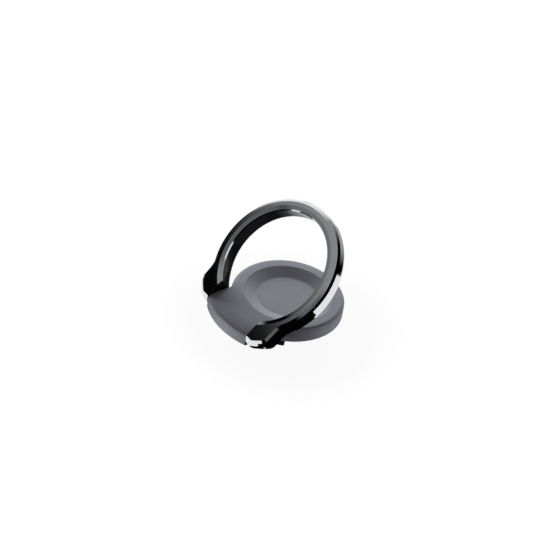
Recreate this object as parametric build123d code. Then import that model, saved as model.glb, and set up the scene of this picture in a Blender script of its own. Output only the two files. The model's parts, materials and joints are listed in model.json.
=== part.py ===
from build123d import *
import os
from math import atan2, degrees, hypot, radians, sin, sqrt, tan

# Phone ring holder: a dished puck with a hinge tab, and a C-shaped finger ring that folds down around it.
# Millimetres and degrees. +Z is up, the puck's axis is Z, and the hinge lies along X on the -Y side.
# The origin is the centre of the lock boss's foot.

# Puck
puck_radius = 20.0
puck_height = 5.65
puck_top_round = 1.4
puck_foot_bevel = 0.3
dish_rim_width = 4.3
dish_wall_width = 4.7
dish_depth = 1.65
dish_lip_bevel = 0.2
dish_floor_round = 2.0

# Hinge tab, moulded in one piece with the puck, with its lengths counted from the puck's side
tab_width = 23.6
tab_length = 8.3
tab_level_length = 1.5
tab_drop = 1.0
tab_front_round = 1.0
hinge_offset = 3.1

# Finger ring, with its sizes given as it lies folded flat around the puck
ring_gap = 0.4
ring_width = 4.65
ring_height = 5.95
ring_lift = 0.2
ring_rest_angle = 44.5
outer_bevel_width = 0.7
outer_bevel_drop = 1.7
outer_facet_width = 0.7
outer_facet_fall = 0.58
back_bevel_width = 0.6
back_bevel_rise = 1.6
inner_facet_width = 1.8
inner_facet_drop = 0.4
inner_front_bevel = 0.35
inner_back_bevel = 0.2

# Knuckles, the two ends of the finger ring
knuckle_gap = 0.3
knuckle_width = 8.3
knuckle_lead = 1.1
knuckle_shoulder_offset = 3.9
knuckle_radius = 2.7
knuckle_side_angle = 2.0
knuckle_corner_round = 3.5
knuckle_flow_round = 6.0

# Hinge pin and the sleeves that grip it
pin_radius = 0.9
pin_end_recess = 0.3
pin_end_bevel = 0.2
pin_press_clearance = 0.01
pin_running_clearance = 0.04
sleeve_wall = 0.7
sleeve_length = 6.0
sleeve_slit = 0.5
sleeve_seat_clearance = 0.02

# Lock base, a plate let into the puck with a four-lug quarter-turn boss below it
boss_height = 7.0
plate_margin = 1.8
plate_thickness = 1.6
plate_clearance = 0.1
neck_radius = 10.9
lug_length = 3.1
lug_width = 5.0
lug_thickness = 2.4
lug_count = 4
lug_bevel = 0.4
boss_wall = 3.5
boss_roof = 3.0
boss_pocket_bevel = 1.0

# Countersunk screws between the lugs
screw_inset = 2.2
screw_count = 4
screw_cover = 0.85
screw_shank_radius = 0.95
screw_head_radius = 1.75
screw_clearance = 0.05
screw_thread_clearance = 0.02
screw_tip_room = 0.4
screw_drive_width = 1.3
screw_drive_depth = 0.6

# Places that follow from the sizes above
puck_base = boss_height
puck_top = puck_base + puck_height
dish_radius = puck_radius - dish_rim_width
dish_floor_radius = dish_radius - dish_wall_width
dish_floor = puck_top - dish_depth
tab_reach = puck_radius + tab_length
tab_level_reach = puck_radius + tab_level_length
hinge_reach = puck_radius + hinge_offset
hinge_height = puck_base + ring_lift + knuckle_radius
hinge_axis = Axis((0, -hinge_reach, hinge_height), (1, 0, 0))
ring_inner_radius = puck_radius + ring_gap
ring_outer_radius = ring_inner_radius + ring_width
ring_base = puck_base + ring_lift
ring_top = ring_base + ring_height
knuckle_reach = tab_reach + knuckle_lead
knuckle_inner_x = tab_width / 2 + knuckle_gap
knuckle_shoulder_x = knuckle_inner_x + knuckle_width
knuckle_shoulder_y = -hinge_reach + knuckle_shoulder_offset
pin_mouth_x = sqrt(knuckle_reach**2 - (hinge_reach + pin_radius) ** 2)
pin_length = 2 * (pin_mouth_x - pin_end_recess)
sleeve_radius = pin_radius + pin_running_clearance + sleeve_wall
plate_seat_radius = puck_radius - plate_margin
lug_radius = neck_radius + lug_length
boss_pocket_radius = neck_radius - boss_wall
boss_pocket_depth = boss_height + plate_thickness - boss_roof
screw_circle_radius = plate_seat_radius - screw_inset
pilot_depth = puck_height - screw_cover
screw_length = pilot_depth - screw_tip_room
reach_past = knuckle_reach + ring_outer_radius
edge_tolerance = 0.001

UPWARD = (Align.CENTER, Align.CENTER, Align.MIN)


def turned(points):
    """A solid of revolution about Z from points given as (radius, height)."""
    outline = Polyline(*points, close=True)
    return revolve(Plane.XZ * make_face(outline), Axis.Z)


def hinge_rod(radius, length):
    """A cylinder along the hinge axis, centred on the puck's middle plane."""
    return Pos(0, -hinge_reach, hinge_height) * Rot(0, 90, 0) * Cylinder(radius, length)


def circle_edge(solid, radius, height):
    """The circular edge of a solid nearest to the point at that radius and height."""
    return solid.edges().filter_by(GeomType.CIRCLE).sort_by_distance((radius, 0, height))[0]


def make_tab():
    """The hinge tab: its top runs level with the puck, then rolls down towards the rounded front."""
    front_top = puck_top - tab_drop
    roll = TangentArc((tab_level_reach, puck_top), (tab_reach, front_top), tangent=(1, 0))
    outline = Curve() + [
        Polyline((0, puck_top), (0, puck_base), (tab_reach - puck_foot_bevel, puck_base)),
        Line((tab_reach - puck_foot_bevel, puck_base), (tab_reach, puck_base + puck_foot_bevel)),
        Line((tab_reach, puck_base + puck_foot_bevel), (tab_reach, front_top)),
        roll,
        Line((tab_level_reach, puck_top), (0, puck_top)),
    ]
    section = make_face(outline)
    front_corner = section.vertices().sort_by_distance((tab_reach, front_top))[0]
    section = fillet(front_corner, tab_front_round)
    round_slab = revolve(Plane.XZ * section, Axis.Z)
    slot = Box(tab_width, reach_past, puck_height, align=(Align.CENTER, Align.MAX, Align.MIN))
    return round_slab & Pos(0, 0, puck_base) * slot


def make_puck_body():
    """Puck and tab in one moulding, with the dish on top, the plate's seat below and the hinge bore.

    The round of its top edge is drawn as two flats, which keeps its facets few.
    """
    round_middle = puck_top_round * (1 - sin(radians(45)))
    disc = turned([
        (0, puck_base),
        (puck_radius - puck_foot_bevel, puck_base),
        (puck_radius, puck_base + puck_foot_bevel),
        (puck_radius, puck_top - puck_top_round),
        (puck_radius - round_middle, puck_top - round_middle),
        (puck_radius - puck_top_round, puck_top),
        (0, puck_top),
    ])
    body = disc + make_tab()
    body -= turned([
        (0, dish_floor),
        (dish_floor_radius, dish_floor),
        (dish_radius, puck_top),
        (0, puck_top),
    ])
    body = fillet(circle_edge(body, dish_floor_radius, dish_floor), dish_floor_round)
    body = chamfer(circle_edge(body, dish_radius, puck_top), dish_lip_bevel)
    body -= Pos(0, 0, puck_base) * Cylinder(plate_seat_radius, plate_thickness, align=UPWARD)
    pilot = Cylinder(screw_shank_radius + screw_thread_clearance, pilot_depth, align=UPWARD)
    for place in PolarLocations(screw_circle_radius, screw_count):
        body -= Pos(0, 0, puck_base) * place * pilot
    return body - hinge_rod(sleeve_radius + sleeve_seat_clearance, tab_width)


def knuckle_outline():
    """Plan of the right-hand knuckle: straight inner side, slanted outer side and a front round the puck."""
    lean = tan(radians(knuckle_side_angle))

    def side_x(y):
        return knuckle_shoulder_x + (y - knuckle_shoulder_y) * lean

    inner_y = -ring_inner_radius / 2
    wedge = make_face(Polyline(
        (knuckle_inner_x, inner_y),
        (knuckle_inner_x, -reach_past),
        (side_x(-reach_past), -reach_past),
        (side_x(inner_y), inner_y),
        close=True,
    ))
    outline = Circle(knuckle_reach) & wedge
    shoulder = outline.vertices().sort_by_distance((knuckle_shoulder_x, knuckle_shoulder_y))[0]
    return fillet(shoulder, knuckle_corner_round)


def ring_outline():
    """Plan of the whole finger ring: an open round band with a knuckle at each end."""
    knuckle = knuckle_outline()
    slot = Rectangle(2 * knuckle_inner_x, reach_past, align=(Align.CENTER, Align.MAX))
    outline = Circle(ring_outer_radius) + knuckle + mirror(knuckle, Plane.YZ) - slot

    def at_flow(corner):
        off_round = abs(hypot(corner.X, corner.Y) - ring_outer_radius)
        return off_round < edge_tolerance and corner.Y < -edge_tolerance

    outline = fillet(outline.vertices().filter_by(at_flow), knuckle_flow_round)
    return outline - Circle(ring_inner_radius)


def barrel_section():
    """Side view of the ring: rounded about the hinge, with a flat that runs up at 45 degrees to the top."""
    slant = knuckle_radius * sin(radians(45))
    flat_start = -hinge_reach + (ring_top - hinge_height) - 2 * slant
    flat_end = (-hinge_reach - slant, hinge_height + slant)
    nose = (-hinge_reach - knuckle_radius, hinge_height)
    heel = (-hinge_reach, ring_base)
    outline = Curve() + [
        Polyline(heel, (reach_past, ring_base), (reach_past, ring_top), (flat_start, ring_top), flat_end),
        ThreePointArc(flat_end, nose, heel),
    ]
    return Plane.YZ * make_face(outline)


def rim_edges(edges):
    """Of the edges on one flat side of the ring, those round its outside from knuckle to knuckle."""
    def on_rim(edge):
        middle = edge.position_at(0.5)
        on_inner_side = abs(abs(middle.X) - knuckle_inner_x) < edge_tolerance
        return hypot(middle.X, middle.Y) > ring_inner_radius + edge_tolerance and not on_inner_side

    return edges.filter_by(on_rim)


def puck_passing():
    """Room for the puck's side, at the angle where the ring's lower inner corners pass it most closely."""
    corner_y = -sqrt(ring_inner_radius**2 - knuckle_inner_x**2)
    passing_angle = degrees(atan2(knuckle_radius, hinge_reach + corner_y))
    room = Pos(0, 0, puck_base) * Cylinder(ring_inner_radius, puck_height, align=UPWARD)
    return room.rotate(hinge_axis, -passing_angle)


def make_finger_ring():
    """The cast ring: a narrow flat front between a sloped facet on each side, and bevels all round."""
    ring = extrude(Pos(0, 0, ring_base) * ring_outline(), ring_height)
    front = ring.faces().sort_by(Axis.Z)[-1]
    ring = chamfer(rim_edges(front.edges()), outer_bevel_width, outer_bevel_drop, reference=front)
    front = ring.faces().sort_by(Axis.Z)[-1]
    ring = chamfer(rim_edges(front.edges()), outer_facet_width, outer_facet_fall, reference=front)
    back = ring.faces().sort_by(Axis.Z)[0]
    ring = chamfer(rim_edges(back.edges()), back_bevel_width, back_bevel_rise, reference=back)
    ring = chamfer(circle_edge(ring, ring_inner_radius, ring_base), inner_back_bevel)
    front = ring.faces().sort_by(Axis.Z)[-1]
    inner_front = circle_edge(ring, ring_inner_radius, ring_top)
    ring = chamfer(inner_front, inner_facet_width, inner_facet_drop, reference=front)
    inner_foot = circle_edge(ring, ring_inner_radius, ring_top - inner_facet_drop)
    ring = chamfer(inner_foot, inner_front_bevel)
    ring &= extrude(barrel_section(), reach_past, both=True)
    ring -= puck_passing()
    return ring - hinge_rod(pin_radius + pin_press_clearance, 2 * reach_past)


def make_lock_base():
    """Plate with a neck and lugs below it, cored out from the foot, and countersunk for the screws."""
    plate_radius = plate_seat_radius - plate_clearance
    plate = Pos(0, 0, puck_base) * Cylinder(plate_radius, plate_thickness, align=UPWARD)
    neck = Cylinder(neck_radius, boss_height, align=UPWARD)
    lug_disc = turned([
        (0, 0),
        (lug_radius - lug_bevel, 0),
        (lug_radius, lug_bevel),
        (lug_radius, lug_thickness - lug_bevel),
        (lug_radius - lug_bevel, lug_thickness),
        (0, lug_thickness),
    ])
    base = plate + neck
    for place in PolarLocations(lug_radius / 2, lug_count, start_angle=180 / lug_count):
        base += lug_disc & place * Box(lug_radius, lug_width, boss_height)
    base -= Cylinder(boss_pocket_radius, boss_pocket_depth, align=UPWARD)
    base = chamfer(circle_edge(base, boss_pocket_radius, boss_pocket_depth), boss_pocket_bevel)
    hole = screw_blank(screw_clearance, plate_thickness)
    for place in PolarLocations(screw_circle_radius, screw_count):
        base -= place * hole
    return base


def screw_blank(clearance, length):
    """A countersunk screw's shape from its head up, grown by a clearance on its sides."""
    head = screw_head_radius + clearance
    shank = screw_shank_radius + clearance
    return turned([
        (0, puck_base),
        (head, puck_base),
        (shank, puck_base + head - shank),
        (shank, puck_base + length),
        (0, puck_base + length),
    ])


def make_base_screws():
    """The four screws, each with a six-sided drive recess in its head."""
    drive = extrude(RegularPolygon(screw_drive_width / 2, 6, major_radius=False), screw_drive_depth)
    screw = screw_blank(0, screw_length) - Pos(0, 0, puck_base) * drive
    return Compound(children=[place * screw for place in PolarLocations(screw_circle_radius, screw_count)])


def make_hinge_pin():
    """The steel pin, held fast in both knuckles and turning in the tab's sleeves."""
    pin = hinge_rod(pin_radius, pin_length)
    return chamfer(pin.edges().filter_by(GeomType.CIRCLE), pin_end_bevel)


def make_friction_sleeve(side):
    """A split sleeve pressed into one end of the tab's bore, which grips the pin."""
    sleeve = hinge_rod(sleeve_radius, sleeve_length)
    sleeve -= hinge_rod(pin_radius + pin_running_clearance, sleeve_length)
    slit = Box(sleeve_length, sleeve_slit, sleeve_radius, align=UPWARD)
    sleeve -= Pos(0, -hinge_reach, hinge_height) * slit
    return Pos(side * (tab_width - sleeve_length) / 2, 0, 0) * sleeve


def raised(solid):
    """Turns a piece that moves with the ring from folded flat to its resting angle."""
    return solid.rotate(hinge_axis, ring_rest_angle)


os.makedirs("parts", exist_ok=True)
export_step(make_puck_body(), "parts/puck_body.step")
export_step(raised(make_finger_ring()), "parts/finger_ring.step")
export_step(make_lock_base(), "parts/lock_base.step")
export_step(make_base_screws(), "parts/base_screws.step")
export_step(raised(make_hinge_pin()), "parts/hinge_pin.step")
export_step(make_friction_sleeve(-1), "parts/friction_sleeve_left.step")
export_step(make_friction_sleeve(1), "parts/friction_sleeve_right.step")
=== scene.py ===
import json
from math import asin, atan2, copysign, cos, degrees, pi, radians, sin, sqrt, tan

import bmesh
import bpy
from mathutils import Matrix, Vector


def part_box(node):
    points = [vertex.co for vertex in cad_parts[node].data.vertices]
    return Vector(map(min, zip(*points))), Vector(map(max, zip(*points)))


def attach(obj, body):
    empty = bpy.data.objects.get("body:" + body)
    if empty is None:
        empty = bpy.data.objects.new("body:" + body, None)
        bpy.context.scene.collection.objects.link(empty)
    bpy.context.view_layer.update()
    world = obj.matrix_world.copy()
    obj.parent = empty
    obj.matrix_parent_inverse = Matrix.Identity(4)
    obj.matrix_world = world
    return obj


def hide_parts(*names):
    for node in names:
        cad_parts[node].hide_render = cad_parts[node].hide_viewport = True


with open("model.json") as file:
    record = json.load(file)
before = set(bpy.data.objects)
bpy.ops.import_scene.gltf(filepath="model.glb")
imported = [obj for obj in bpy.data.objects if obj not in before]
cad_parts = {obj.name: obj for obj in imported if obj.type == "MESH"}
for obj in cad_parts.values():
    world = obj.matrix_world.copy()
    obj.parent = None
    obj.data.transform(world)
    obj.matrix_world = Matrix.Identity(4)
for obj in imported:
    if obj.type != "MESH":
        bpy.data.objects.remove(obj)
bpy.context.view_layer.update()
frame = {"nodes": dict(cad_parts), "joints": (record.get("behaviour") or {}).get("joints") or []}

# Phone ring holder: a soft-touch puck on a lock boss, and a polished finger ring hinged to its tab.
# Lengths are metres in the part's own frame, written in millimetres times MM. Angles are degrees.
MM = 0.001

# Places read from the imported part
hinge = frame["joints"][0]
hinge_point = Vector(hinge["pos_m"])
rest_angle = -hinge["range_deg"][0]
puck_low, puck_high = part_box("puck_body")
seat_height = puck_low.z
puck_top = puck_high.z
puck_radius = puck_high.y
tab_reach = -puck_low.y

# Puck and tab
puck_top_round = 1.4 * MM
foot_bevel = 0.3 * MM
dish_radius = puck_radius - 4.3 * MM
dish_floor_radius = dish_radius - 4.7 * MM
dish_depth = 1.65 * MM
dish_lip_round = 0.4 * MM
dish_floor_round = 2.0 * MM
plate_seat_radius = puck_radius - 1.8 * MM
plate_thickness = 1.6 * MM
tab_half_width = 11.8 * MM
tab_level_reach = puck_radius + 1.5 * MM
tab_drop = 1.0 * MM
tab_front_round = 1.0 * MM
tab_edge_round = 0.25 * MM

# Finger ring, as it lies folded flat around the puck
ring_base = seat_height + 0.2 * MM
ring_top = ring_base + 5.95 * MM
ring_inner_radius = puck_radius + 0.4 * MM
ring_outer_radius = ring_inner_radius + 4.65 * MM
outer_bevel = (0.7 * MM, 1.7 * MM)
outer_facet_width = 0.7 * MM
outer_facet_fall = 0.58 * MM
back_bevel = (0.6 * MM, 1.6 * MM)
inner_facet = (1.8 * MM, 0.4 * MM)
inner_front_bevel = 0.35 * MM
inner_back_bevel = 0.2 * MM
ring_edge_round = 0.08 * MM

# Faces of the ring that look at its axis or at the tab within an angle of this cosine are lined black:
# painted shade, standing in for the dark reflections inside the band and on the knuckles' inner sides
lining_turn = 0.85

# Knuckles at the ring's ends
knuckle_inner = tab_half_width + 0.3 * MM
knuckle_shoulder = (knuckle_inner + 8.3 * MM, hinge_point.y + 3.9 * MM)
knuckle_side_angle = 2.0
knuckle_reach = tab_reach + 1.1 * MM
knuckle_corner_round = 3.5 * MM
knuckle_flow_round = 6.0 * MM
knuckle_radius = hinge_point.z - ring_base
pin_bore_radius = 0.91 * MM

# Screws in the lock base
screw_count = 4
screw_circle_radius = plate_seat_radius - 2.2 * MM
screw_head_radius = 1.75 * MM
screw_shank_radius = 0.95 * MM
screw_length = 4.4 * MM
screw_drive_width = 1.3 * MM
screw_drive_depth = 0.6 * MM
screw_sides = 48

# Fineness of the round meshes
turn_steps = 192
arc_steps = 10
tab_steps = 96
tab_sweep = (-140, 100)
nose_steps = 48
bore_steps = 40
floor_steps = 96
far_side_steps, flow_steps, corner_steps, front_steps = 72, 12, 16, 24
merge_distance = 0.0005 * MM
station_spacing = 0.001 * MM

# How far cutters run past what they cut, and how far joined solids overlap
cutter_margin = 2 * MM
front_margin = 5 * MM
joint_overlap = 0.2 * MM

# Edges sharper than these angles stay crisp in shading, on softened pieces and on plain turned ones
soft_crease = 8
turned_crease = 25

# Edges sharper than these angles are rounded
ring_round_angle = 15
puck_round_angle = 35


def srgb(hex_code):
    """An sRGB hex colour as the linear RGBA that shader sockets take."""
    channels = [int(hex_code[i:i + 2], 16) / 255 for i in (1, 3, 5)]
    linear = [c / 12.92 if c <= 0.04045 else ((c + 0.055) / 1.055) ** 2.4 for c in channels]
    return (*linear, 1.0)


def add_node(tree, kind, settings=None, inputs=None):
    """Adds a node with its settings; an input is a value, or the socket that feeds it."""
    node = tree.nodes.new(kind)
    for name, value in (settings or {}).items():
        setattr(node, name, value)
    for name, value in (inputs or {}).items():
        if isinstance(value, bpy.types.NodeSocket):
            tree.links.new(value, node.inputs[name])
        else:
            node.inputs[name].default_value = value
    return node


def new_material(name):
    """An empty node material, with its tree, Object coordinates and output ready."""
    material = bpy.data.materials.new(name)
    material.use_nodes = True
    tree = material.node_tree
    tree.nodes.clear()
    place = add_node(tree, "ShaderNodeTexCoord").outputs["Object"]
    output = add_node(tree, "ShaderNodeOutputMaterial")
    return material, tree, place, output


def link_object(name, mesh):
    """Puts a mesh into the scene under that name, at the origin."""
    piece = bpy.data.objects.new(name, mesh)
    bpy.context.scene.collection.objects.link(piece)
    return piece


def piece_from(name, shape):
    """Turns a bmesh into a scene object, with its doubles merged and its faces pointing outwards."""
    bmesh.ops.remove_doubles(shape, verts=shape.verts, dist=merge_distance)
    bmesh.ops.recalc_face_normals(shape, faces=shape.faces)
    mesh = bpy.data.meshes.new(name)
    shape.to_mesh(mesh)
    shape.free()
    return link_object(name, mesh)


def bake_modifiers(piece):
    """Replaces a piece's mesh by what its modifiers make of it, and removes them."""
    bpy.context.view_layer.update()
    finished = piece.evaluated_get(bpy.context.evaluated_depsgraph_get())
    mesh = bpy.data.meshes.new_from_object(finished)
    piece.modifiers.clear()
    piece.data = mesh
    mesh.name = piece.name


def combine(piece, other, operation):
    """Joins, cuts or intersects a piece with another, which is used up."""
    modifier = piece.modifiers.new(operation.lower(), "BOOLEAN")
    modifier.object = other
    modifier.operation = operation
    modifier.solver = "EXACT"
    bake_modifiers(piece)
    bpy.data.objects.remove(other)


def soften(piece, width, angle, steps=3):
    """Rounds the edges sharper than an angle; flat faces stay flat and curved ones are shaded smooth."""
    piece.data.shade_smooth()
    piece.data.set_sharp_from_angle(angle=radians(soft_crease))
    modifier = piece.modifiers.new("edge_round", "BEVEL")
    modifier.width = width
    modifier.limit_method = "ANGLE"
    modifier.angle_limit = radians(angle)
    modifier.segments = steps
    modifier.harden_normals = True
    bake_modifiers(piece)


def arc_points(centre, radius, start, end, steps):
    """Points along an arc between two angles in degrees."""
    turns = [radians(start + (end - start) * i / steps) for i in range(steps + 1)]
    return [(centre[0] + radius * cos(t), centre[1] + radius * sin(t)) for t in turns]


def rounded(points, rounds):
    """A closed outline with some corners rounded; rounds gives a radius by the corner's index."""
    outline = []
    for i, corner in enumerate(points):
        radius = rounds.get(i, 0)
        if not radius:
            outline.append(corner)
            continue
        here = Vector(corner)
        before = (Vector(points[i - 1]) - here).normalized()
        after = (Vector(points[(i + 1) % len(points)]) - here).normalized()
        half = before.angle(after) / 2
        centre = here + (before + after).normalized() * radius / sin(half)
        start = here + before * radius / tan(half) - centre
        end = here + after * radius / tan(half) - centre
        for k in range(arc_steps + 1):
            spoke = start.lerp(end, k / arc_steps).normalized() * radius
            outline.append(tuple(centre + spoke))
    return outline


def turned(outline, steps=turn_steps, start=0.0, sweep=360.0):
    """A solid turned about Z from (radius, height) points; less than a full turn gets end faces."""
    shape = bmesh.new()
    full = sweep == 360.0
    rows = []
    for k in range(steps if full else steps + 1):
        turn = radians(start + sweep * k / steps)
        rows.append([shape.verts.new((r * cos(turn), r * sin(turn), z)) for r, z in outline])
    count = len(outline)
    for k in range(steps):
        row, following = rows[k], rows[(k + 1) % len(rows)]
        for i in range(count):
            j = (i + 1) % count
            shape.faces.new((row[i], row[j], following[j], following[i]))
    if not full:
        shape.faces.new(rows[0])
        shape.faces.new(rows[-1])
    bmesh.ops.dissolve_degenerate(shape, edges=shape.edges, dist=merge_distance)
    return shape


def prism(outline, axis_matrix, low, high):
    """A solid pushed out from a flat outline along the third axis of a matrix."""
    shape = bmesh.new()
    ends = [[shape.verts.new(axis_matrix @ Vector((x, y, z))) for x, y in outline] for z in (low, high)]
    for i in range(len(outline)):
        j = (i + 1) % len(outline)
        shape.faces.new((ends[0][i], ends[0][j], ends[1][j], ends[1][i]))
    shape.faces.new(ends[0])
    shape.faces.new(ends[1])
    return shape


# Turns an outline drawn in Y and Z so that it is pushed out along X
ALONG_X = Matrix(((0, 0, 1), (1, 0, 0), (0, 1, 0)))
UPRIGHT = Matrix.Identity(3)


def outer_stations():
    """The ring's right outer side from its far end to the front: points with their outward directions."""
    lean = radians(knuckle_side_angle)
    side_normal = Vector((cos(lean), -sin(lean)))
    side_along = Vector((sin(lean), cos(lean)))
    side_distance = Vector(knuckle_shoulder).dot(side_normal)

    def tangent_centre(across, from_axis):
        return side_normal * across - side_along * sqrt(from_axis**2 - across**2)

    flow = tangent_centre(side_distance + knuckle_flow_round, ring_outer_radius + knuckle_flow_round)
    corner = tangent_centre(side_distance - knuckle_corner_round, knuckle_reach - knuckle_corner_round)
    flow_turn = degrees(atan2(flow.y, flow.x))
    corner_turn = degrees(atan2(corner.y, corner.x))
    axis = Vector((0, 0))
    runs = [
        (axis, ring_outer_radius, 90, flow_turn, far_side_steps),
        (flow, -knuckle_flow_round, flow_turn, -knuckle_side_angle, flow_steps),
        (corner, knuckle_corner_round, -knuckle_side_angle, corner_turn, corner_steps),
        (axis, knuckle_reach, corner_turn, -90, front_steps),
    ]
    stations = []
    for centre, radius, start, end, steps in runs:
        for k in range(steps + 1):
            turn = radians(start + (end - start) * k / steps)
            outward = Vector((cos(turn), sin(turn)))
            point = centre + outward * radius
            if not stations or (point - stations[-1][0]).length > station_spacing:
                stations.append((point, outward))
    return stations


def ring_band():
    """The whole ring before its ends are cut: one bevelled section carried right round."""
    right = outer_stations()
    left = [(Vector((-p.x, p.y)), Vector((-n.x, n.y))) for p, n in reversed(right[1:-1])]
    inner_foot = ring_top - inner_facet[1]
    inner_leg = Vector(inner_facet).normalized() * inner_front_bevel
    inner_side = [
        (ring_inner_radius + inner_back_bevel, ring_base),
        (ring_inner_radius, ring_base + inner_back_bevel),
        (ring_inner_radius, inner_foot - inner_front_bevel),
        (ring_inner_radius + inner_leg.x, inner_foot + inner_leg.y),
        (ring_inner_radius + inner_facet[0], ring_top),
    ]
    outer_leg = Vector(outer_bevel).normalized() * outer_facet_fall
    shape = bmesh.new()
    rows = []
    for point, outward in right + left:
        spoke = point.normalized()
        section = [
            *((spoke * radius, height) for radius, height in inner_side),
            (point - outward * (outer_bevel[0] + outer_facet_width), ring_top),
            (point - outward * (outer_bevel[0] - outer_leg.x), ring_top - outer_leg.y),
            (point, ring_top - outer_bevel[1]),
            (point, ring_base + back_bevel[1]),
            (point - outward * back_bevel[0], ring_base),
        ]
        rows.append([shape.verts.new((p.x, p.y, z)) for p, z in section])
    for row, following in zip(rows, rows[1:] + rows[:1]):
        for i in range(len(row)):
            j = (i + 1) % len(row)
            shape.faces.new((row[i], row[j], following[j], following[i]))
    return piece_from("finger_ring_polished", shape)


def hinge_cutters():
    """What is cut off the ring's front so that it can turn: all but the knuckles' rounded noses."""
    y, z = hinge_point.y, hinge_point.z
    slant = knuckle_radius * sin(radians(45))
    nose = arc_points((y, z), knuckle_radius, -90, -225, nose_steps)
    past_top = ring_top + cutter_margin
    flat_top = (y + past_top - z - 2 * slant, past_top)
    far_front = -knuckle_reach - front_margin
    below = ring_base - cutter_margin
    outline = nose + [flat_top, (far_front, past_top), (far_front, below), (y, below)]
    return prism(outline, ALONG_X, -knuckle_reach, knuckle_reach)


def make_ring():
    """The cast and polished ring, in its raised resting place."""
    ring = ring_band()
    depth = knuckle_reach + cutter_margin
    slot = [(-knuckle_inner, 0), (knuckle_inner, 0), (knuckle_inner, -depth), (-knuckle_inner, -depth)]
    combine(ring, piece_from("slot", prism(slot, UPRIGHT, 0, 2 * puck_top)), "DIFFERENCE")
    combine(ring, piece_from("front", hinge_cutters()), "DIFFERENCE")
    corner_y = -sqrt(ring_inner_radius**2 - knuckle_inner**2)
    passing_angle = atan2(knuckle_radius, corner_y - hinge_point.y)
    room = turned([
        (0, seat_height),
        (ring_inner_radius, seat_height),
        (ring_inner_radius, puck_top),
        (0, puck_top),
    ])
    turn_about_hinge(room.verts, -passing_angle)
    combine(ring, piece_from("puck_room", room), "DIFFERENCE")
    last_turn = 360 - 360 / bore_steps
    bore = arc_points((hinge_point.y, hinge_point.z), pin_bore_radius, 0, last_turn, bore_steps - 1)
    combine(ring, piece_from("bore", prism(bore, ALONG_X, -knuckle_reach, knuckle_reach)), "DIFFERENCE")
    shape = bmesh.new()
    shape.from_mesh(ring.data)
    turn_about_hinge(shape.verts, radians(rest_angle))
    shape.to_mesh(ring.data)
    shape.free()
    soften(ring, ring_edge_round, ring_round_angle)
    # Faces turned to the axis or the tab get the black lining, painted shade for the dark reflections there
    fold_down = Matrix.Rotation(-radians(rest_angle), 3, "X")
    for face in ring.data.polygons:
        place = fold_down @ (face.center - hinge_point) + hinge_point
        inward = -Vector((place.x, place.y, 0)).normalized()
        tabward = Vector((-copysign(1, place.x), 0, 0))
        facing = fold_down @ face.normal
        if max(facing.dot(inward), facing.dot(tabward)) > lining_turn:
            face.material_index = 1
    return ring


def turn_about_hinge(verts, angle):
    """Turns points about the hinge axis, which lies along X."""
    turn = Matrix.Rotation(angle, 4, "X")
    about = Matrix.Translation(hinge_point) @ turn @ Matrix.Translation(-hinge_point)
    for vert in verts:
        vert.co = about @ vert.co


def make_puck():
    """Puck and tab in one moulding."""
    dish_floor = puck_top - dish_depth
    plate_top = seat_height + plate_thickness
    outline = rounded([
        (0, plate_top),
        (plate_seat_radius, plate_top),
        (plate_seat_radius, seat_height),
        (puck_radius - foot_bevel, seat_height),
        (puck_radius, seat_height + foot_bevel),
        (puck_radius, puck_top),
        (dish_radius, puck_top),
        (dish_floor_radius, dish_floor),
        (0, dish_floor),
    ], {5: puck_top_round, 6: dish_lip_round, 7: dish_floor_round})
    puck = piece_from("puck_moulding", turned(outline))
    root = plate_seat_radius + joint_overlap
    run = tab_reach - tab_level_reach
    roll_radius = (run**2 + tab_drop**2) / (2 * tab_drop)
    roll_turn = degrees(asin(run / roll_radius))
    roll = arc_points((tab_level_reach, puck_top - roll_radius), roll_radius, 90 - roll_turn, 90, 24)
    corners = [
        (root, seat_height),
        (tab_reach - foot_bevel, seat_height),
        (tab_reach, seat_height + foot_bevel),
        roll[0],
        *roll[4:],
        (root, puck_top),
    ]
    tab = piece_from("tab", turned(rounded(corners, {3: tab_front_round}), tab_steps, *tab_sweep))
    side = tab_half_width
    depth = 2 * tab_reach
    tab_width = [(-side, 0), (side, 0), (side, -depth), (-side, -depth)]
    combine(tab, piece_from("tab_width", prism(tab_width, UPRIGHT, 0, depth)), "INTERSECT")
    combine(puck, tab, "UNION")
    soften(puck, tab_edge_round, puck_round_angle)
    return puck


def smooth_copy(node, name):
    """A copy of a CAD node with its loose triangles merged and its round faces shaded smooth."""
    shape = bmesh.new()
    shape.from_mesh(frame["nodes"][node].data)
    bmesh.ops.remove_doubles(shape, verts=shape.verts, dist=merge_distance)
    mesh = bpy.data.meshes.new(name)
    shape.to_mesh(mesh)
    shape.free()
    mesh.materials.clear()
    mesh.shade_smooth()
    mesh.set_sharp_from_angle(angle=radians(turned_crease))
    return link_object(name, mesh)


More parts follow.
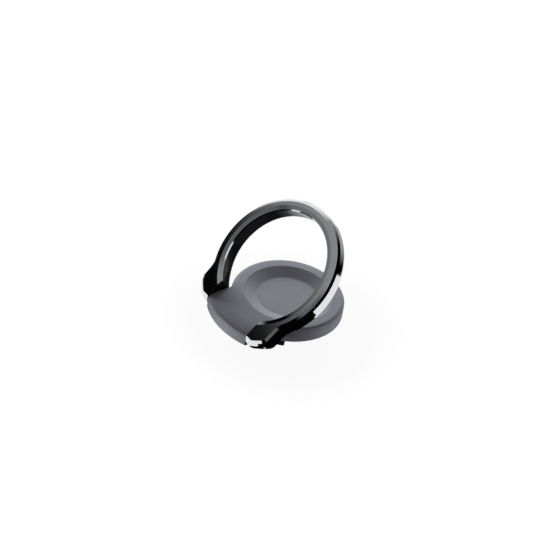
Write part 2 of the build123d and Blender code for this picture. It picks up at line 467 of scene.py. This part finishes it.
def screw_tree(material):
    """The node tree that makes one countersunk screw, head down, and repeats it in a circle."""
    tree = bpy.data.node_groups.new("base_screws", "GeometryNodeTree")
    tree.interface.new_socket("Geometry", in_out="OUTPUT", socket_type="NodeSocketGeometry")
    lengths = (
        "Head Radius", "Shank Radius", "Length",
        "Drive Width", "Drive Depth", "Circle Radius", "Seat Height",
    )
    for name in lengths:
        tree.interface.new_socket(name, in_out="INPUT", socket_type="NodeSocketFloat")
    tree.interface.new_socket("Count", in_out="INPUT", socket_type="NodeSocketInt")
    given = add_node(tree, "NodeGroupInput").outputs

    def raised(shape, height):
        offset = add_node(tree, "ShaderNodeCombineXYZ", inputs={"Z": height})
        return add_node(tree, "GeometryNodeTransform", inputs={
            "Geometry": shape, "Translation": offset.outputs["Vector"]}).outputs["Geometry"]

    head_height = add_node(tree, "ShaderNodeMath", {"operation": "SUBTRACT"}, {
        0: given["Head Radius"], 1: given["Shank Radius"]})
    half_length = add_node(tree, "ShaderNodeMath", {"operation": "MULTIPLY"}, {0: given["Length"], 1: 0.5})
    drive_radius = add_node(tree, "ShaderNodeMath", {"operation": "DIVIDE"}, {
        0: given["Drive Width"], 1: sqrt(3)})
    drive_cut = add_node(tree, "ShaderNodeMath", {"operation": "MULTIPLY"}, {
        0: given["Drive Depth"], 1: 2.0})
    head = add_node(tree, "GeometryNodeMeshCone", inputs={
        "Vertices": screw_sides,
        "Radius Top": given["Shank Radius"],
        "Radius Bottom": given["Head Radius"],
        "Depth": head_height.outputs["Value"],
    })
    shank = add_node(tree, "GeometryNodeMeshCylinder", inputs={
        "Vertices": screw_sides, "Radius": given["Shank Radius"], "Depth": given["Length"]})
    blank = add_node(tree, "GeometryNodeMeshBoolean", {"operation": "UNION", "solver": "EXACT"}, {
        "Mesh 2": raised(shank.outputs["Mesh"], half_length.outputs["Value"])})
    tree.links.new(head.outputs["Mesh"], blank.inputs["Mesh 2"])
    drive = add_node(tree, "GeometryNodeMeshCylinder", inputs={
        "Vertices": 6,
        "Radius": drive_radius.outputs["Value"],
        "Depth": drive_cut.outputs["Value"],
    })
    screw = add_node(tree, "GeometryNodeMeshBoolean", {"operation": "DIFFERENCE", "solver": "EXACT"}, {
        "Mesh 1": blank.outputs["Mesh"], "Mesh 2": drive.outputs["Mesh"]})
    circle = add_node(tree, "GeometryNodeMeshCircle", inputs={
        "Vertices": given["Count"], "Radius": given["Circle Radius"]})
    turn = add_node(tree, "FunctionNodeAlignRotationToVector", {"axis": "X", "pivot_axis": "Z"}, {
        "Vector": add_node(tree, "GeometryNodeInputPosition").outputs["Position"]})
    screws = add_node(tree, "GeometryNodeInstanceOnPoints", inputs={
        "Points": circle.outputs["Mesh"],
        "Instance": screw.outputs["Mesh"],
        "Rotation": turn.outputs["Rotation"],
    })
    real = add_node(tree, "GeometryNodeRealizeInstances", inputs={
        "Geometry": raised(screws.outputs["Instances"], given["Seat Height"])})
    painted = add_node(tree, "GeometryNodeSetMaterial", inputs={
        "Geometry": real.outputs["Geometry"], "Material": material})
    add_node(tree, "NodeGroupOutput", inputs={"Geometry": painted.outputs["Geometry"]})
    return tree


def make_screws(material):
    """The four screws that hold the lock base, made by their node tree and turned into a plain mesh."""
    sizes = {
        "Head Radius": screw_head_radius,
        "Shank Radius": screw_shank_radius,
        "Length": screw_length,
        "Drive Width": screw_drive_width,
        "Drive Depth": screw_drive_depth,
        "Circle Radius": screw_circle_radius,
        "Seat Height": seat_height,
        "Count": screw_count,
    }
    screws = link_object("base_screws_black", bpy.data.meshes.new("base_screws_black"))
    modifier = screws.modifiers.new("screws", "NODES")
    modifier.node_group = screw_tree(material)
    for socket in modifier.node_group.interface.items_tree:
        if socket.in_out == "INPUT":
            modifier[socket.identifier] = sizes[socket.name]
    bake_modifiers(screws)
    # The first slot is the empty one that the primitives bring with them
    screws.data.materials.pop(index=0)
    screws.data.shade_smooth()
    screws.data.set_sharp_from_angle(angle=radians(turned_crease))
    return screws


def soft_touch():
    """Soft-touch lacquer on moulded polycarbonate: a velvety charcoal that scatters a broad, weak gloss."""
    material, tree, place, output = new_material("soft_touch_lacquer_on_polycarbonate")
    cloud = add_node(tree, "ShaderNodeTexNoise", inputs={
        "Vector": place, "Scale": 1 / (6 * MM), "Detail": 3.0})
    colour = add_node(tree, "ShaderNodeMix", {"data_type": "RGBA"}, {"Factor": cloud.outputs["Fac"]})
    colour.inputs["A"].default_value = srgb("#7e7e87")
    colour.inputs["B"].default_value = srgb("#85858e")
    # The lacquer's own grain is about 0.03 mm; it is drawn at 0.2 mm so that it shows.
    grain = add_node(tree, "ShaderNodeTexNoise", inputs={
        "Vector": place, "Scale": 1 / (0.2 * MM), "Detail": 2.0})
    rough = add_node(tree, "ShaderNodeMapRange", inputs={
        "Value": grain.outputs["Fac"], "To Min": 0.64, "To Max": 0.72})
    bump = add_node(tree, "ShaderNodeBump", inputs={
        "Height": grain.outputs["Fac"], "Strength": 0.12, "Distance": 0.02 * MM})
    shader = add_node(tree, "ShaderNodeBsdfPrincipled", inputs={
        "Base Color": colour.outputs["Result"],
        "Roughness": rough.outputs["Result"],
        "Normal": bump.outputs["Normal"],
        "IOR": 1.48,
        "Specular IOR Level": 0.3,
    })
    tree.links.new(shader.outputs["BSDF"], output.inputs["Surface"])
    return material


def polished_chrome():
    """Dark chrome plate on polished zinc: mirror bright, with only a breath of haze from buffing."""
    material, tree, place, output = new_material("dark_chrome_plate_polished")
    # Buffing lines are about 0.02 mm apart; they are drawn at 0.3 mm so that they show.
    haze = add_node(tree, "ShaderNodeTexNoise", inputs={
        "Vector": place, "Scale": 1 / (0.3 * MM), "Detail": 4.0})
    rough = add_node(tree, "ShaderNodeMapRange", inputs={
        "Value": haze.outputs["Fac"], "To Min": 0.03, "To Max": 0.09})
    shader = add_node(tree, "ShaderNodeBsdfPrincipled", inputs={
        "Base Color": srgb("#e0e2e6"),
        "Metallic": 1.0,
        "Roughness": rough.outputs["Result"],
    })
    tree.links.new(shader.outputs["BSDF"], output.inputs["Surface"])
    return material


def painted_shade_lining():
    """Black lacquer inside the band, painted shade for the dark reflections there: a deep gloss that lights
    up only at a glancing angle.
    """
    material, tree, place, output = new_material("black_lacquer_painted_shade")
    # Lacquer ripples over about 4 mm, very shallowly.
    ripple = add_node(tree, "ShaderNodeTexNoise", inputs={"Vector": place, "Scale": 1 / (4 * MM)})
    rough = add_node(tree, "ShaderNodeMapRange", inputs={
        "Value": ripple.outputs["Fac"], "To Min": 0.10, "To Max": 0.16})
    shader = add_node(tree, "ShaderNodeBsdfPrincipled", inputs={
        "Base Color": srgb("#060607"),
        "Roughness": rough.outputs["Result"],
        "Specular IOR Level": 0.25,
    })
    tree.links.new(shader.outputs["BSDF"], output.inputs["Surface"])
    return material


def base_nylon():
    """Glass-filled nylon, moulded in a spark-eroded tool: near black, dry and slightly speckled."""
    material, tree, place, output = new_material("glass_filled_nylon_moulded")
    # Spark erosion leaves pits about 0.05 mm across; they are drawn at 0.25 mm so that they show.
    grain = add_node(tree, "ShaderNodeTexNoise", inputs={
        "Vector": place, "Scale": 1 / (0.25 * MM), "Detail": 3.0})
    colour = add_node(tree, "ShaderNodeMix", {"data_type": "RGBA"}, {"Factor": grain.outputs["Fac"]})
    colour.inputs["A"].default_value = srgb("#1a1a1c")
    colour.inputs["B"].default_value = srgb("#29292c")
    bump = add_node(tree, "ShaderNodeBump", inputs={
        "Height": grain.outputs["Fac"], "Strength": 0.3, "Distance": 0.03 * MM})
    shader = add_node(tree, "ShaderNodeBsdfPrincipled", inputs={
        "Base Color": colour.outputs["Result"],
        "Roughness": 0.55,
        "Normal": bump.outputs["Normal"],
        "IOR": 1.53,
    })
    tree.links.new(shader.outputs["BSDF"], output.inputs["Surface"])
    return material


def ground_steel(name, hex_code, roughness):
    """Steel with fine lathe or grinding lines round its axis."""
    material, tree, place, output = new_material(name)
    # Tool marks are about 0.03 mm apart; they are drawn at 0.15 mm so that they show.
    lines = add_node(tree, "ShaderNodeTexNoise", inputs={
        "Vector": place, "Scale": 1 / (0.15 * MM), "Detail": 2.0})
    rough = add_node(tree, "ShaderNodeMapRange", inputs={
        "Value": lines.outputs["Fac"], "To Min": roughness - 0.06, "To Max": roughness + 0.06})
    shader = add_node(tree, "ShaderNodeBsdfPrincipled", inputs={
        "Base Color": srgb(hex_code),
        "Metallic": 1.0,
        "Roughness": rough.outputs["Result"],
    })
    tree.links.new(shader.outputs["BSDF"], output.inputs["Surface"])
    return material


def acetal():
    """Natural acetal, turned: milky white with a waxy gloss."""
    material, tree, place, output = new_material("white_acetal_turned")
    cloud = add_node(tree, "ShaderNodeTexNoise", inputs={"Vector": place, "Scale": 1 / (1.5 * MM)})
    colour = add_node(tree, "ShaderNodeMix", {"data_type": "RGBA"}, {"Factor": cloud.outputs["Fac"]})
    colour.inputs["A"].default_value = srgb("#d8d8d0")
    colour.inputs["B"].default_value = srgb("#e4e4de")
    shader = add_node(tree, "ShaderNodeBsdfPrincipled", inputs={
        "Base Color": colour.outputs["Result"], "Roughness": 0.35, "IOR": 1.48})
    tree.links.new(shader.outputs["BSDF"], output.inputs["Surface"])
    return material


# The camera stands where the photograph was taken from: a long lens, above the puck and rolled a little.
view_azimuth = 49.96
view_elevation = 37.09
view_roll = 9.14
view_distance = 680.95 * MM
view_shift = (3.92 * MM, -10.82 * MM)
focal_pixels = 1937.97
image_pixels = 550


# The studio: a white floor and backdrop with grey and dark cards round the part, as metal is photographed.
# Each panel has a brightness, the azimuth and elevation in which it stands, the cosines between which it
# fades in, and the sines of elevation between which it fades in. A panel hides those before it in the list.
# The metal sees the white backdrop through one soft gap between them.
floor_radius = 130 * MM
floor_centre = (35 * MM, 20 * MM)
floor_share = (0.94, 1.0)
floor_fade = (28 * MM, 48 * MM)
floor_drop = 0.02 * MM
mirrored_floor_share = 1.0
room_dimming = 0.4
any_height = (-1.2, -1.1)
studio_panels = [
    (0.30, (0, 90), (0.508, 0.55), any_height),
    (0.19, (226, 0), (0.74, 0.95), (0.42, 0.36)),
    (0.13, (272, 25), (0.765, 0.86), (0.34, 0.46)),
    (0.42, (126, 0), (0.66, 0.95), (0.60, 0.10)),
    (1.00, (134, 0), (0.93, 0.985), (0.30, 0.10)),
    (0.90, (4, 40), (0.96, 0.985), any_height),
    (1.00, (262, -5), (0.976, 0.996), any_height),
]
backdrop_gap = ((158, 28), (0.80, 1.0), any_height)

# The black card on the floor in front on the right, which only mirrored rays meet: a painted shadow, the
# part's shadow deepened as the metal mirrors it; corners in millimetres
shadow_card_height = 0.05 * MM
shadow_card_corners = [
    (8, -20), (8, -25), (17, -28), (19, -31), (12, -36), (9, -40), (0, -47), (-45, -50),
    (-60, -100), (15, -104), (25, -118), (180, -118), (180, -5), (45, 8), (14, 10),
]


def make_camera():
    """The camera, aimed at the middle of the seat and shifted as the photograph is framed."""
    turn, tilt, roll = radians(view_azimuth), radians(view_elevation), radians(view_roll)
    level = Vector((cos(turn), sin(turn), 0))
    back = Vector((sin(turn) * cos(tilt), -cos(turn) * cos(tilt), sin(tilt)))
    above = back.cross(level)
    right = level * cos(roll) + above * sin(roll)
    up = above * cos(roll) - level * sin(roll)
    seat_centre = Vector((0, 0, seat_height))
    place = seat_centre - right * view_shift[0] - up * view_shift[1] + back * view_distance
    data = bpy.data.cameras.new("camera")
    data.sensor_fit = "HORIZONTAL"
    data.sensor_width = 36.0
    data.lens = data.sensor_width * focal_pixels / image_pixels
    data.clip_start = 0.01
    camera = bpy.data.objects.new("camera", data)
    camera.matrix_world = Matrix.Translation(place) @ Matrix((right, up, back)).transposed().to_4x4()
    bpy.context.scene.collection.objects.link(camera)
    bpy.context.scene.camera = camera


def make_floor():
    """A plain white floor under the part that fades into the background; from below it is clear."""
    shape = bmesh.new()
    bmesh.ops.create_circle(shape, cap_ends=True, segments=floor_steps, radius=floor_radius)
    bmesh.ops.translate(shape, verts=shape.verts, vec=(*floor_centre, -floor_drop))
    floor = piece_from("floor", shape)
    material, tree, place, output = new_material("white_floor")
    lit = add_node(tree, "ShaderNodeBsdfDiffuse", inputs={"Color": srgb("#909090")})
    white = add_node(tree, "ShaderNodeEmission", inputs={"Color": (1, 1, 1, 1), "Strength": 1.0})
    reach = add_node(tree, "ShaderNodeVectorMath", {"operation": "LENGTH"}, {0: place})
    fade = add_node(tree, "ShaderNodeMapRange", {"interpolation_type": "SMOOTHSTEP"}, {
        "Value": reach.outputs["Value"],
        "From Min": floor_fade[0],
        "From Max": floor_fade[1],
        "To Min": floor_share[0],
        "To Max": floor_share[1],
    })
    ray = add_node(tree, "ShaderNodeLightPath")
    seen = add_node(tree, "ShaderNodeMath", {"operation": "MULTIPLY"}, {
        0: ray.outputs["Is Camera Ray"], 1: fade.outputs["Result"]})
    through = add_node(tree, "ShaderNodeMath", {"operation": "MAXIMUM"}, {
        0: ray.outputs["Is Glossy Ray"], 1: ray.outputs["Is Transmission Ray"]})
    mirrored = add_node(tree, "ShaderNodeMath", {"operation": "MULTIPLY"}, {
        0: through.outputs["Value"], 1: mirrored_floor_share})
    share = add_node(tree, "ShaderNodeMath", {"operation": "MAXIMUM"}, {
        0: seen.outputs["Value"], 1: mirrored.outputs["Value"]})
    mix = add_node(tree, "ShaderNodeMixShader", inputs={
        "Fac": share.outputs["Value"], 1: lit.outputs["BSDF"], 2: white.outputs["Emission"]})
    below = add_node(tree, "ShaderNodeNewGeometry").outputs["Backfacing"]
    clear = add_node(tree, "ShaderNodeBsdfTransparent")
    one_sided = add_node(tree, "ShaderNodeMixShader", inputs={
        "Fac": below, 1: mix.outputs["Shader"], 2: clear.outputs["BSDF"]})
    tree.links.new(one_sided.outputs["Shader"], output.inputs["Surface"])
    floor.data.materials.append(material)


def make_painted_shadow_card():
    """A black card on the floor beside the part, which only the polished metal mirrors: a painted shadow of
    the part, seen only in reflections.
    """
    shape = bmesh.new()
    shape.faces.new([shape.verts.new((x * MM, y * MM, shadow_card_height)) for x, y in shadow_card_corners])
    card = piece_from("painted_shadow_card", shape)
    material, tree, place, output = new_material("painted_shadow_card")
    # Painted shadow: the black that the metal mirrors near the part
    black = add_node(tree, "ShaderNodeBsdfDiffuse", inputs={"Color": srgb("#080808")})
    tree.links.new(black.outputs["BSDF"], output.inputs["Surface"])
    card.data.materials.append(material)
    card.visible_camera = False
    card.visible_diffuse = False
    card.visible_shadow = False


def direction(turn, rise):
    """The unit vector at an azimuth and an elevation in degrees."""
    flat = cos(radians(rise))
    return Vector((flat * cos(radians(turn)), flat * sin(radians(turn)), sin(radians(rise))))


def make_world():
    """A grey scrim overhead, grey cards left and in front, a pale wall behind, and the white backdrop."""
    world = bpy.data.worlds.new("studio")
    bpy.context.scene.world = world
    world.use_nodes = True
    tree = world.node_tree
    tree.nodes.clear()
    output = add_node(tree, "ShaderNodeOutputWorld")
    white = (1, 1, 1, 1)
    toward = add_node(tree, "ShaderNodeTexCoord").outputs["Generated"]
    height = add_node(tree, "ShaderNodeSeparateXYZ", inputs={"Vector": toward}).outputs["Z"]

    def cover(facing, facing_edge, height_edge):
        """How far a panel covers each direction, faded in towards its middle and up or down to its edge."""
        sideways = add_node(tree, "ShaderNodeVectorMath", {"operation": "DOT_PRODUCT"}, {
            0: toward, 1: direction(*facing)})
        across = add_node(tree, "ShaderNodeMapRange", {"interpolation_type": "SMOOTHSTEP"}, {
            "Value": sideways.outputs["Value"], "From Min": facing_edge[0], "From Max": facing_edge[1]})
        upward = add_node(tree, "ShaderNodeMapRange", {"interpolation_type": "SMOOTHSTEP"}, {
            "Value": height, "From Min": height_edge[0], "From Max": height_edge[1]})
        return add_node(tree, "ShaderNodeMath", {"operation": "MULTIPLY"}, {
            0: across.outputs["Result"], 1: upward.outputs["Result"]}).outputs["Value"]

    dark = add_node(tree, "ShaderNodeBackground", inputs={"Color": white, "Strength": 0.0})
    bright = add_node(tree, "ShaderNodeBackground", inputs={"Color": white, "Strength": 1.0})
    seen = dark.outputs["Background"]
    for level, facing, facing_edge, height_edge in studio_panels:
        panel = add_node(tree, "ShaderNodeBackground", inputs={"Color": white, "Strength": level})
        seen = add_node(tree, "ShaderNodeMixShader", inputs={
            "Fac": cover(facing, facing_edge, height_edge),
            1: seen,
            2: panel.outputs["Background"],
        }).outputs["Shader"]
    ray = add_node(tree, "ShaderNodeLightPath")
    through = add_node(tree, "ShaderNodeMath", {"operation": "MAXIMUM"}, {
        0: ray.outputs["Is Glossy Ray"], 1: ray.outputs["Is Transmission Ray"]})
    mirrored = add_node(tree, "ShaderNodeMath", {"operation": "MULTIPLY"}, {
        0: through.outputs["Value"], 1: cover(*backdrop_gap)})
    share = add_node(tree, "ShaderNodeMath", {"operation": "MAXIMUM"}, {
        0: ray.outputs["Is Camera Ray"], 1: mirrored.outputs["Value"]})
    dimmed = add_node(tree, "ShaderNodeMath", {"operation": "MULTIPLY"}, {
        0: ray.outputs["Is Diffuse Ray"], 1: room_dimming})
    room = add_node(tree, "ShaderNodeMixShader", inputs={
        "Fac": dimmed.outputs["Value"], 1: seen, 2: dark.outputs["Background"]})
    mix = add_node(tree, "ShaderNodeMixShader", inputs={
        "Fac": share.outputs["Value"], 1: room.outputs["Shader"], 2: bright.outputs["Background"]})
    tree.links.new(mix.outputs["Shader"], output.inputs["Surface"])


def soft_box(name, turn, rise, distance, size, level):
    """A soft area lamp, not mirrored by metal; level 1 shows a surface facing it in its own colour."""
    data = bpy.data.lights.new(name, "AREA")
    data.shape = "RECTANGLE"
    data.size, data.size_y = size
    data.energy = level * pi**2 * distance**2
    lamp = bpy.data.objects.new(name, data)
    aim = Vector((0, 0, seat_height))
    toward = direction(turn, rise)
    place = Matrix.Translation(aim + toward * distance)
    lamp.matrix_world = place @ toward.to_track_quat("Z", "Y").to_matrix().to_4x4()
    lamp.visible_camera = False
    lamp.visible_glossy = False
    bpy.context.scene.collection.objects.link(lamp)


def dress(piece, materials, body, slot, *nodes):
    """Gives a finished piece its materials and its body, and hides the CAD nodes that it stands for; the
    slot is not used.
    """
    for material in materials:
        piece.data.materials.append(material)
    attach(piece, body)
    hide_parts(*nodes)


pin_steel = ground_steel("bright_steel_ground", "#b4b4b8", 0.25)
screw_steel = ground_steel("black_oxide_steel_turned", "#3c3c40", 0.4)
white_acetal = acetal()

dress(make_ring(), [polished_chrome(), painted_shade_lining()], "ring", "black_chrome", "finger_ring")
dress(make_puck(), [soft_touch()], "puck", "soft_touch_charcoal", "puck_body")
dress(smooth_copy("lock_base", "lock_base_moulding"), [base_nylon()], "puck", "base_nylon", "lock_base")
dress(smooth_copy("hinge_pin", "hinge_pin_ground"), [pin_steel], "ring", "pin_steel", "hinge_pin")
dress(make_screws(screw_steel), [], "puck", "screw_steel", "base_screws")
for side in ("left", "right"):
    node = "friction_sleeve_" + side
    dress(smooth_copy(node, node + "_split"), [white_acetal], "puck", "sleeve_acetal", node)

make_camera()
make_floor()
make_painted_shadow_card()
make_world()
soft_box("back_key", 146, 20, 0.60, (0.75, 0.25), 2.9)
soft_box("front_floor_light", 274, -7, 0.050, (0.03, 0.008), 0.36)
soft_box("right_floor_light", 24, -7, 0.050, (0.03, 0.008), 0.36)
bpy.context.scene.view_settings.view_transform = "Standard"
